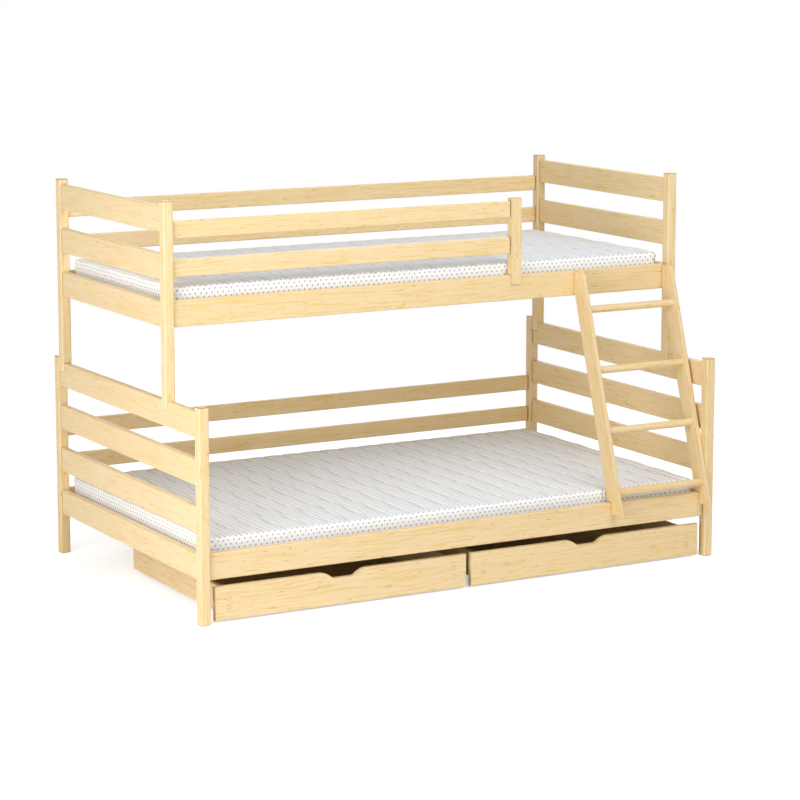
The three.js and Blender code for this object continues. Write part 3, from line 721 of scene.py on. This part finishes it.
def quilt_finish(name):
    """White quilted cotton: staggered dots, and a sewn line in each furrow."""
    finish, add, shader = new_finish(name)
    place = cloth_map(add)
    dots = woven_dots(add, place["X"], place["Y"], DOT_ALONG, DOT_ACROSS)
    close = add("Attribute", attribute_name="furrow").outputs["Fac"]
    sewn = add("MapRange", {"Value": close, "From Min": 0.6, "From Max": 0.9})
    patch = add("TexNoise", {"Vector": add("TexCoord").outputs["Object"], "Scale": 7.0,
                             "Detail": 2.0})
    part = add("Math", {0: sewn, 1: 0.45}, operation="MULTIPLY")
    cloth = blend(add, patch, "#f5f9fe", "#eff3f8")
    for amount, code in ((dots, "#9aa1ac"), (part, "#8b9199")):
        cloth = blend(add, amount, cloth, code)
    fill_inputs(shader, {"Base Color": cloth})
    sunk = add("Math", {0: sewn, 1: dots}, operation="ADD")
    cotton_feel(add, shader, add("Math", {0: sunk, 1: -1.0}, operation="MULTIPLY"))
    return finish


def border_finish(name, line_at, line_code):
    """White cotton with small woven dots in staggered rows, and one darker upright line, sunk a
    little.
    """
    finish, add, shader = new_finish(name)
    place = cloth_map(add)
    dots = woven_dots(add, place["Y"], place["X"], DOT_UP, DOT_ALONG)
    away = add("Math", {0: place["X"], 1: line_at / DOT_ALONG}, operation="SUBTRACT")
    near = add("Math", {0: away}, operation="ABSOLUTE")
    upright_line = add("MapRange", {"Value": near, "From Min": 0.05, "From Max": 0.09,
                            "To Min": 1.0, "To Max": 0.0})
    cloth = "#f7f8f9"
    # A darker upright line crosses the border at one place, drawn as a colour and sunk a little.
    for amount, code in ((dots, "#8e99ab"), (upright_line, line_code)):
        cloth = blend(add, amount, cloth, code)
    fill_inputs(shader, {"Base Color": cloth})
    cotton_feel(add, shader, add("Math", {0: upright_line, 1: -2.0}, operation="MULTIPLY"))
    return finish


print("furrows", round(FURROW * 1000), "mm apart")

# %% [markdown]
# ## How the cloth lies
#
# The furrows snake by some millimetres as they cross the bed, and the cloth between them puckers.
# Near the rim the rows of points lie closer together, because the cloth curves most there. The
# unevenness comes from Perlin noise, which gives the same value each run.

# %% How the cloth lies
EDGE, CORNER, CROWN = 98 * MM, 26 * MM, 5 * MM
TOP_ROUND, FOOT_ROUND, DRAW_IN = 12 * MM, 6 * MM, 2.5 * MM
ROWS, TO_A_FURROW = 64, 10
SNAKE, SNAKE_SIDEWAYS, SNAKE_UP, STRAY = 190 * MM, 8 * MM, 1.4 * MM, 10 * MM
BULGE, SEWN_DOWN, SETTLED = 1.4 * MM, 5.0 * MM, 1.2 * MM
LONG_PUCKER, SHORT_PUCKER = 1.2 * MM, 1.0 * MM
NEAR_RIM = [0.0, 3 * MM, 7 * MM, 12 * MM]


def row_place(index, half):
    """Where a row of points lies across the bed: close together near the rim, and even between."""
    from_rim = min(index, ROWS - index)
    last = len(NEAR_RIM) - 1
    if from_rim <= last:
        distance = NEAR_RIM[from_rim]
    else:
        distance = NEAR_RIM[last] + (from_rim - last) * (half - NEAR_RIM[last]) / (ROWS / 2 - last)
    return distance - half if index <= ROWS / 2 else half - distance


def rounded(x, y, half_x, half_y, radius):
    """Move a point of a rectangle into one with round corners, and give the way outwards there."""
    inside = Vector((max(radius - half_x, min(half_x - radius, x)),
                     max(radius - half_y, min(half_y - radius, y))))
    off = Vector((x, y)) - inside
    if off.length < 1e-9:
        return Vector((x, y)), Vector((0, 0))
    reach = max(abs(off.x), abs(off.y))
    return inside + off.normalized() * reach, off.normalized()


def wander(x, y, seed):
    """How far a furrow strays along the bed."""
    late = 2.2 * noise.noise(Vector((x * 2.2, y * 0.8, seed)))
    slow = noise.noise(Vector((x * 3.1, y * 4.5, seed + 7.0)))
    return SNAKE_SIDEWAYS * math.sin(math.tau * y / SNAKE + late) + STRAY * slow


def pucker(x, y, seed):
    """The slow rise and fall of the quilting."""
    long_wave = noise.noise(Vector((x * 11.0, y * 5.0, seed + 20.0)))
    short_wave = noise.noise(Vector((x * 22.0, y * 22.0, seed + 31.0)))
    return LONG_PUCKER * long_wave + SHORT_PUCKER * short_wave


def quilted(column):
    """How high the cloth stands in a column of points: low in a furrow and round between two."""
    across = math.pi * ((column / TO_A_FURROW + 0.5) % 1)
    return BULGE - SEWN_DOWN * (1 - math.sin(across)) ** 2


deep = quilted(0) - quilted(TO_A_FURROW // 2)
print("a furrow is", round(deep * 1000, 1), "mm deep")

# %% [markdown]
# ## Rim and border
#
# The rim of the top is extruded step by step: over the round edge, down the border, which is drawn
# in a little between its seams, and under. Extruding a rim keeps the rows of points in line, which
# a subdivided cube wouldn't. Then a UV map counts the dots.

# %% Rim and border
FIRST_ROW = 6 * MM


def rim_steps():
    """Each step of the rim: how far out, how far down, and the length of cloth to there."""
    for degrees in (22.5, 45, 67.5, 90):
        a = math.radians(degrees)
        yield TOP_ROUND * math.sin(a), TOP_ROUND * (1 - math.cos(a)), TOP_ROUND * a
    wall = EDGE - TOP_ROUND - FOOT_ROUND
    for share in (0.25, 0.5, 0.75, 1.0):
        yield (TOP_ROUND - DRAW_IN * math.sin(math.pi * share), TOP_ROUND + wall * share,
               TOP_ROUND * math.pi / 2 + wall * share)
    for degrees in (45, 90):
        a = math.radians(degrees)
        yield (TOP_ROUND - FOOT_ROUND * (1 - math.cos(a)), EDGE - FOOT_ROUND * (1 - math.sin(a)),
               TOP_ROUND * math.pi / 2 + wall + FOOT_ROUND * a)


def of_kind(items, kind):
    """The items of one kind, such as all edges, from what a bmesh operator hands back."""
    return [item for item in items if isinstance(item, kind)]


def extrude_rim(bm, layers, foot):
    """Pull the open rim over the edge and down to the foot, and close the underside."""
    edges = [edge for edge in bm.edges if edge.is_boundary]
    for out, drop, length in rim_steps():
        made = bmesh.ops.extrude_edge_only(bm, edges=edges)["geom"]
        edges = of_kind(made, bmesh.types.BMEdge)
        for vertex in of_kind(made, bmesh.types.BMVert):
            fade = 1 - drop / EDGE
            settled = foot + EDGE + (vertex[layers.rim_z] - foot - EDGE) * fade
            vertex.co = Vector((vertex[layers.rim_x] + vertex[layers.out_x] * out,
                                vertex[layers.rim_y] + vertex[layers.out_y] * out, settled - drop))
            vertex[layers.down] = length
            vertex[layers.furrow] = 0.0
        for face in of_kind(made, bmesh.types.BMFace):
            face.material_index = 1
    bmesh.ops.edgeloop_fill(bm, edges=edges, mat_nr=1)


def map_cloth(bm, layers, centre, half_x, half_y):
    """Give the cloth a UV map that counts dots, straight across the top and round the border."""
    cloth = bm.loops.layers.uv.new("cloth")
    for face in bm.faces:
        corners = [(loop.vert[layers.grid_x], loop.vert[layers.grid_y]) for loop in face.loops]
        at_front = all(abs(y + half_y) < 1e-6 for _, y in corners)
        at_back = all(abs(y - half_y) < 1e-6 for _, y in corners)
        at_right = all(abs(x - half_x) < 1e-6 for x, _ in corners)
        for loop, (x, y) in zip(face.loops, corners):
            if face.material_index == 0:
                flat = loop.vert.co - centre
                loop[cloth].uv = (flat.x / DOT_ALONG, flat.y / DOT_ACROSS)
                continue
            if at_front:
                round_trip = x + half_x
            elif at_back:
                round_trip = 3 * half_x + 2 * half_y - x
            elif at_right:
                round_trip = 2 * half_x + half_y + y
            else:
                round_trip = 4 * half_x + 3 * half_y - y
            rows = (loop.vert[layers.down] - FIRST_ROW) / DOT_UP
            loop[cloth].uv = (round_trip / DOT_ALONG, rows)


print("the rim takes", len(list(rim_steps())), "steps")

# %% [markdown]
# ## Mattresses
#
# A mattress starts as a grid with ten columns of points to each furrow, so the furrows are real
# shape and the far edge looks gently scalloped. The middle of a real mattress stands a little
# higher than its rim, so each point's height is that crown, the quilting and the puckers together.

# %% Two mattresses
FADE = 60 * MM
# How far round each border, from its front left, the darker upright line stands.
LOWER_LINE_AT, UPPER_LINE_AT = 1.574, 1.955


def make_mattress(level, seed, finishes):
    """Model one mattress in the room of its CAD solid."""
    node = f"{level}_mattress"
    low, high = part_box(node)
    centre = (low + high) / 2
    full_x, full_y = (high.x - low.x) / 2, (high.y - low.y) / 2
    half_x, half_y = full_x - TOP_ROUND, full_y - TOP_ROUND
    columns = TO_A_FURROW * round(2 * half_x / FURROW)
    bm = bmesh.new()
    bmesh.ops.create_grid(bm, x_segments=columns, y_segments=ROWS, size=1.0)
    layers = SimpleNamespace(**{layer: bm.verts.layers.float.new(layer) for layer in (
        "grid_x", "grid_y", "out_x", "out_y", "rim_x", "rim_y", "rim_z", "down", "furrow")})
    for vertex in bm.verts:
        column = round((vertex.co.x + 1) / 2 * columns)
        x = -half_x + 2 * half_x * column / columns
        y = row_place(round((vertex.co.y + 1) / 2 * ROWS), half_y)
        plan, outwards = rounded(x, y, half_x, half_y, CORNER - TOP_ROUND)
        along, side = abs(plan.x) / full_x, abs(plan.y) / full_y
        from_end = min(1.0, (half_x - abs(x)) / FADE)
        from_side = min(1.0, (half_y - abs(y)) / FADE)
        crown = CROWN * (1 - along ** 4) * (1 - side ** 4)
        snaking = SNAKE_UP * math.sin(math.tau * y / SNAKE + seed) * (1 - from_end)
        lift = crown + quilted(column) * (0.5 + 0.5 * from_side) + snaking - SETTLED
        lift += pucker(x, y, seed) * min(from_end, from_side)
        stray = wander(x, y, seed) * from_end
        vertex.co = Vector((centre.x + plan.x + stray, centre.y + plan.y, low.z + EDGE + lift))
        vertex[layers.grid_x], vertex[layers.grid_y] = x, y
        vertex[layers.out_x], vertex[layers.out_y] = outwards
        vertex[layers.rim_x], vertex[layers.rim_y], vertex[layers.rim_z] = vertex.co
        in_furrow = (column + TO_A_FURROW // 2) % TO_A_FURROW == 0
        vertex[layers.furrow] = 1.0 if in_furrow else 0.0
    extrude_rim(bm, layers, low.z)
    map_cloth(bm, layers, centre, half_x, half_y)
    piece = make_piece(bm, f"{level}_mattress_cover", "frame", finishes[0], [node])
    piece.data.materials.append(finishes[1])
    piece.modifiers.clear()
    print(piece.name, len(piece.data.polygons), "faces,", columns // TO_A_FURROW, "furrows")


quilt = quilt_finish("quilted cotton with woven dots")
# Each border gets a darker upright line: grey on the lower one, nearly black on the upper one.
lower_border = border_finish("cotton border with woven dots", LOWER_LINE_AT, "#a9aeb6")
upper_border = border_finish("cotton border with woven dots, dark seam", UPPER_LINE_AT, "#4a4d52")
make_mattress("lower", seed=2.0, finishes=(quilt, lower_border))
make_mattress("upper", seed=5.0, finishes=(quilt, upper_border))

# %% [markdown]
# ## Drawer fronts
#
# A drawer front is a panel with a hand grip cut out of its top edge. The outline with its eight
# corners is drawn flat, the grip's corners are rounded with a vertex bevel, and the face is
# extruded to 18 mm. Then the rims are bevelled, so the edges look sanded.
#
# Two round plugs near each end close the screw holes. A plug shows as a ring: lacquer gathers in
# the groove round it, and the finish darkens the groove with painted shade as well. So each is a
# thin disc whose face is inset twice: once down, for the groove, and once up again, for the plug
# itself. The groove is 1.6 mm wide, about three times a real one, because it would be lost in the
# picture otherwise.

# %% Drawer fronts and plugs
GRIP_TOP, GRIP_FLOOR, GRIP_DEPTH = 142 * MM, 80 * MM, 23 * MM
GRIP_MOUTH_ROUND, GRIP_FLOOR_ROUND, FRONT_ROUND = 18 * MM, 7 * MM, 2.5 * MM
PLUG, PLUG_FROM_END, PLUG_HEIGHTS = 17 * MM, 51 * MM, (51.2 * MM, 82.5 * MM)
PLUG_LONG, PLUG_SUNK = 2 * MM, 0.6 * MM
GROOVE_WIDTH, GROOVE_DEPTH = 0.8 * MM, 0.3 * MM
for label in ("left", "right"):
    node = f"drawer_{label}_front"
    low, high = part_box(node)
    middle = (low.x + high.x) / 2
    grip_z = high.z - GRIP_DEPTH
    corners = [(x, low.y, z) for x, z in (
        (low.x, low.z), (high.x, low.z), (high.x, high.z), (middle + GRIP_TOP / 2, high.z),
        (middle + GRIP_FLOOR / 2, grip_z), (middle - GRIP_FLOOR / 2, grip_z),
        (middle - GRIP_TOP / 2, high.z), (low.x, high.z))]
    roundings = [((3, 6), GRIP_MOUTH_ROUND, 6), ((4, 5), GRIP_FLOOR_ROUND, 6)]
    bm = saw_outline(corners, (0, high.y - low.y, 0), FRONT_ROUND, roundings)
    make_wood(bm, node, ALONG_X, f"drawer_{label}")
    for end, x in (("left", low.x + PLUG_FROM_END), ("right", high.x - PLUG_FROM_END)):
        for height, z in zip(("low", "high"), PLUG_HEIGHTS):
            bm = bmesh.new()
            add_cylinder(bm, (x, low.y + PLUG_SUNK, z), "X", PLUG, PLUG_LONG, segments=24)
            bm.normal_update()
            edge = bm.verts.layers.float.new("edge")
            disc = [face for face in bm.faces if face.normal.y < -0.9]
            # The groove's rim is marked for painted shade, and the plug's own face is left
            # unmarked.
            for depth, deep in ((-GROOVE_DEPTH, 0.8), (GROOVE_DEPTH, 0.0)):
                bmesh.ops.inset_individual(bm, faces=disc, thickness=GROOVE_WIDTH, depth=depth)
                for vertex in disc[0].verts:
                    vertex[edge] = deep
            make_piece(bm, f"drawer_{label}_plug_{end}_{height}", f"drawer_{label}",
                       lacquered_pine, grain=ALONG_X)
print("two drawer fronts with four plugs each")

# %% [markdown]
# ## Drawer boxes
#
# Sides and back are plain planed boards. The bottom is thin plywood with blocks under it that
# carry the axles, and its CAD solid already has the right shape, so only its finish is new.
# Birch plywood is peeled from the log, not sawn, so its face shows broad soft figures and no rings.

# %% Drawer boxes
plywood, add, shader = new_finish("birch plywood, peeled and sanded")
sheet = add("TexCoord").outputs["Object"]
broad = add("Mapping", {"Vector": sheet, "Scale": (3.0, 22.0, 22.0)})
figure = add("TexNoise", {"Vector": broad, "Scale": 1.0, "Detail": 4.0, "Distortion": 1.2})
thin = add("Mapping", {"Vector": sheet, "Scale": (20.0, 700.0, 700.0)})
pores = add("TexNoise", {"Vector": thin, "Scale": 1.0, "Detail": 2.0})
both = add("Math", {0: pores, 1: 0.4, 2: figure}, operation="MULTIPLY_ADD")
stain = add("ValToRGB", {"Fac": both})
ramp_stops(stain, [(0.45, colour("#dfc193")), (0.95, colour("#cba873"))])
rough = add("MapRange", {"Value": pores, "To Min": 0.6, "To Max": 0.75})
fuzz = add("Bump", {"Height": pores, "Strength": 0.3, "Distance": 0.1 * MM})
fill_inputs(shader, {"Base Color": stain, "Roughness": rough, "Normal": fuzz})

for label in ("left", "right"):
    body = f"drawer_{label}"
    for part, along in (("side_left", ALONG_Y), ("side_right", ALONG_Y), ("back", ALONG_X)):
        node = f"{body}_{part}"
        bm = bmesh.new()
        add_board(bm, *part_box(node), along, radius=1.5 * MM, ease=0.8 * MM, segments=2)
        make_wood(bm, node, along, body, bare_pine)
    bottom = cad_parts[f"{body}_bottom"]
    bottom.data.materials.clear()
    bottom.data.materials.append(plywood)
print("two drawer boxes")

# %% [markdown]
# ## Wheels
#
# Each drawer rolls on two pairs of small wheels. A wheel is moulded in dark polypropylene, so it
# has a fine, even, slightly waxy surface. It is a short cylinder with rounded shoulders, and its
# two flat sides are inset and pushed in, as a moulded wheel is hollowed to save plastic. The axle
# is a drawn steel rod.

# %% Wheels and axles
polypropylene, add, shader = new_finish("polypropylene, moulded")
place = add("TexCoord").outputs["Object"]
grit = add("TexNoise", {"Vector": place, "Scale": 1500.0, "Detail": 1.0})
dark = blend(add, grit, "#3f4042", "#353638")
pitted = add("Bump", {"Height": grit, "Strength": 0.2, "Distance": 0.05 * MM})
fill_inputs(shader, {"Base Color": dark, "Normal": pitted, "Roughness": 0.45})

AXLE, AXLE_EASE = 5 * MM, 0.4 * MM
WHEEL_WIDTH, WHEEL_FROM_END, SHOULDER = 12 * MM, 21.5 * MM, 1.5 * MM
WHEEL_RIM, WHEEL_HOLLOW = 1.8 * MM, 1.2 * MM
for label in ("left", "right"):
    for end in ("front", "back"):
        node = f"drawer_{label}_wheels_{end}"
        body = f"drawer_{label}_{end}_wheels"
        low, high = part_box(node)
        middle = (low + high) / 2
        bm = bmesh.new()
        for outer in (low.x + WHEEL_FROM_END, high.x - WHEEL_FROM_END - WHEEL_WIDTH):
            known = set(bm.verts)
            add_bar(bm, (outer, low.y, low.z), (outer + WHEEL_WIDTH, high.y, high.z), SHOULDER,
                    segments=40)
            bm.normal_update()
            sides = [face for face in bm.faces
                     if abs(face.normal.x) > ALIGNED and known.isdisjoint(face.verts)]
            bmesh.ops.inset_individual(bm, faces=sides, thickness=WHEEL_RIM, depth=-WHEEL_HOLLOW)
        make_piece(bm, f"{node}_plastic", body, polypropylene, [node])
        bm = bmesh.new()
        add_bar(bm, (low.x, middle.y - AXLE / 2, middle.z - AXLE / 2),
                (high.x, middle.y + AXLE / 2, middle.z + AXLE / 2), AXLE_EASE, segments=20)
        make_piece(bm, f"drawer_{label}_axle_{end}", body, steel)
print("four pairs of wheels")

# %% [markdown]
# ## Floor
#
# The bed stands in a white studio. The floor is a plain pale surface that keeps the bed's shadow.
# Seen by the camera, or mirrored in lacquer or steel, it is white: it glows a little, which lifts
# the shadow to a light grey, and it fades into the white of the world a few metres away, so no
# horizon shows. For light that bounces it is a plain pale grey without any glow, so it doesn't
# light the underside of the bed more than a floor would.

# %% Floor
FLOOR_HALF, FADE_FROM, FADE_TO = 60.0, 2.2, 4.5
FLOOR_GLOW, FLOOR_BOUNCE = 0.5, 0.85
WHITE = (1.0, 1.0, 1.0, 1.0)


def seen_rays(add):
    """1 for rays from the camera, a mirror or through glass, and 0 for light that bounces."""
    path = add("LightPath")
    mirrored = add("Math", {0: path.outputs["Is Glossy Ray"],
                            1: path.outputs["Is Transmission Ray"]}, operation="ADD")
    return add("Math", {0: path.outputs["Is Camera Ray"], 1: mirrored},
               operation="ADD", use_clamp=True)


paint = bpy.data.materials.new("matt floor paint, rolled")
add = node_adder(paint)
rays = seen_rays(add)
place = add("TexCoord").outputs["Object"]
mottle = add("TexNoise", {"Vector": place, "Scale": 30.0, "Detail": 2.0})
pale = blend(add, mottle, WHITE, (0.985, 0.985, 0.985, 1.0))
albedo = blend(add, rays, (FLOOR_BOUNCE,) * 3 + (1.0,), pale)
matt = add("BsdfDiffuse", {"Color": albedo})
glow = add("Math", {0: rays, 1: FLOOR_GLOW}, operation="MULTIPLY")
lifted = add("Emission", {"Color": WHITE, "Strength": glow})
near = add("AddShader", {0: matt, 1: lifted})
white = add("Emission", {"Color": WHITE, "Strength": 1.0})
reach = add("VectorMath", {0: place}, operation="LENGTH")
fade = add("MapRange", {"Value": reach, "From Min": FADE_FROM, "From Max": FADE_TO},
           interpolation_type="SMOOTHSTEP")
far = add("Math", {0: fade, 1: rays}, operation="MULTIPLY")
mixed = add("MixShader", {0: far, 1: near, 2: white})
add("OutputMaterial", {"Surface": mixed})

bm = bmesh.new()
bmesh.ops.create_grid(bm, x_segments=1, y_segments=1, size=FLOOR_HALF)
floor = to_scene(bm, "floor")
floor.data.materials.append(paint)
floor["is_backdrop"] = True
print("floor", floor.dimensions.x, "m wide")

# %% [markdown]
# ## Light and camera
#
# Product pictures of pale wood use soft light from nearly everywhere. The world gives a plain white
# fill. A large lamp stands close to the left end, so the boards there are brighter than those that
# look left at the far end. A second lamp in front lights the faces that look forward, a third one
# above it lights the mattresses, and a fourth, behind, keeps the back of the bed from looking dull.
#
# The camera stands 10 metres away with a long lens, a little higher than the bed, as the
# photographer's did, so the bed's lines run almost parallel.

# %% Light
scene = bpy.context.scene
scene.view_settings.view_transform = "Standard"
scene.world = bpy.data.worlds.new("white studio")
add = node_adder(scene.world)
fill = add("MapRange", {"Value": seen_rays(add), "To Min": 0.34, "To Max": 1.0})
sky = add("Background", {"Color": WHITE, "Strength": fill})
add("OutputWorld", {"Surface": sky})

LAMP_SIZE, AIM = 2.6, Vector((0.0, 0.0, 0.7))
LAMPS = {"left lamp": ((-3.5, -1.7, 1.2), 88), "front lamp": ((0.5, -4.0, 3.2), 54),
         "top lamp": ((0.5, -2.4, 4.6), 64), "back lamp": ((2.2, 4.2, 3.8), 50)}
for name, (place, watts) in LAMPS.items():
    light = bpy.data.lights.new(name, "AREA")
    light.shape = "SQUARE"
    light.size = LAMP_SIZE
    light.energy = watts
    lamp = bpy.data.objects.new(name, light)
    scene.collection.objects.link(lamp)
    lamp.location = place
    lamp.rotation_euler = (AIM - Vector(place)).to_track_quat("-Z", "Y").to_euler()
print("four lamps and a white world")

# %% Camera
lens = bpy.data.cameras.new("camera")
lens.sensor_width = 36.0
lens.lens = 121.43
lens.shift_y = -0.08
camera = bpy.data.objects.new("camera", lens)
scene.collection.objects.link(camera)
camera.location = (-4.7426, -8.5086, 2.3255)
camera.rotation_euler = (math.radians(81.203), 0.0, math.radians(-29.419))
scene.camera = camera
print("camera", round(camera.location.length, 2), "m from the middle of the bed")

# %% [markdown]
# ## The size of the dressed bed
#
# The dressed bed has to fill the same box as the CAD model. Here the box that the dressed bed
# fills is measured.

# %% Size of the dressed bed
low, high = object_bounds()
